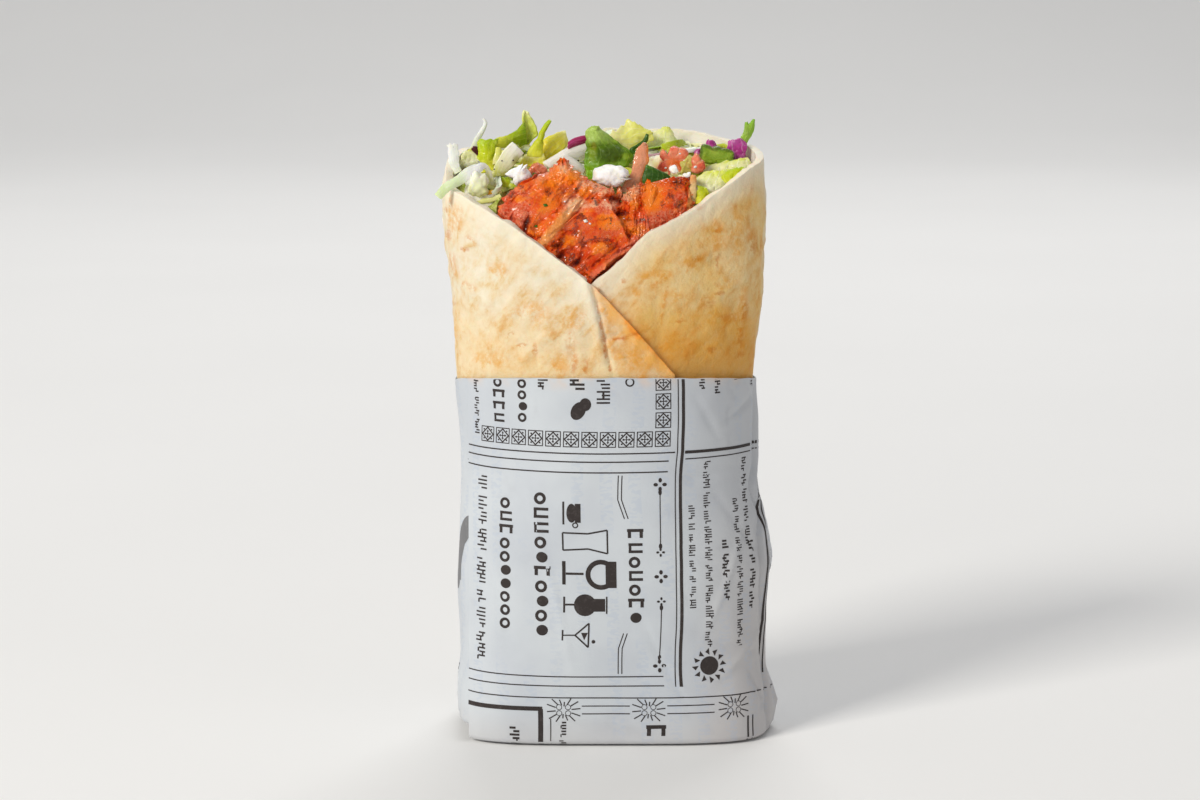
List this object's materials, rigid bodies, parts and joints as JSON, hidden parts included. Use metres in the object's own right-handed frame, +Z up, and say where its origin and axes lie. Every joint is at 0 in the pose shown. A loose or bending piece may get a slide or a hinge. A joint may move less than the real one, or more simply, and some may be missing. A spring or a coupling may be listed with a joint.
{
  "type": "durum wrap",
  "caption": "Flatbread rolled round grilled meat and salad, open in a V at the front and standing in a folded paper wrapper.",
  "frame": {"origin": "middle of the underside, on the surface that the wrap stands on", "axes": "+Z up along the roll, -Y towards the open front, +X to the right seen from the front"},
  "size_m": [0.0903, 0.0534, 0.1641],
  "materials": {
    "paper": "thin greaseproof paper with printed bars and rules",
    "flatbread": "matt baked dough, cream with toasted patches",
    "meat": "glossy grilled meat, orange red with char",
    "salad": "moist shredded lettuce and cabbage",
    "cheese": "matt white crumbly cheese",
    "tomato": "wet red tomato flesh",
    "pepper": "wet green flesh with dark skin",
    "leaf_green": "smooth dark green leaf",
    "lettuce": "crisp yellow green leaf",
    "lettuce_pale": "crisp pale leaf rib",
    "onion": "wet onion, white with a purple skin side",
    "purple": "wet purple cabbage",
    "cabbage": "wet white cabbage"
  },
  "bodies": {
    "root": {"paper": "paper", "flatbread": "flatbread", "salad": "salad", "meat_left": "meat", "meat_centre": "meat", "meat_right": "meat", "cheese_large": "cheese", "cheese_left": "cheese", "cheese_right": "cheese", "tomato_front": "tomato", "tomato_side": "tomato", "pepper_piece": "pepper", "meat_bit": "meat", "meat_strip": "meat", "leaf_dark": "leaf_green", "onion_slice": "onion", "onion_sliver": "onion", "lettuce_rib": "lettuce_pale", "lettuce_frill": "lettuce", "lettuce_lobe": "lettuce", "lettuce_blade": "lettuce", "lettuce_fan": "lettuce", "lettuce_pale": "lettuce_pale", "lettuce_back": "lettuce_pale", "leaf_tip": "leaf_green", "cabbage_curl_left": "purple", "cabbage_curl_right": "purple", "herb_sprig": "leaf_green", "strand_forked": "cabbage", "strand_pointed": "cabbage", "strand_draped": "cabbage"}
  },
  "joints": []
}
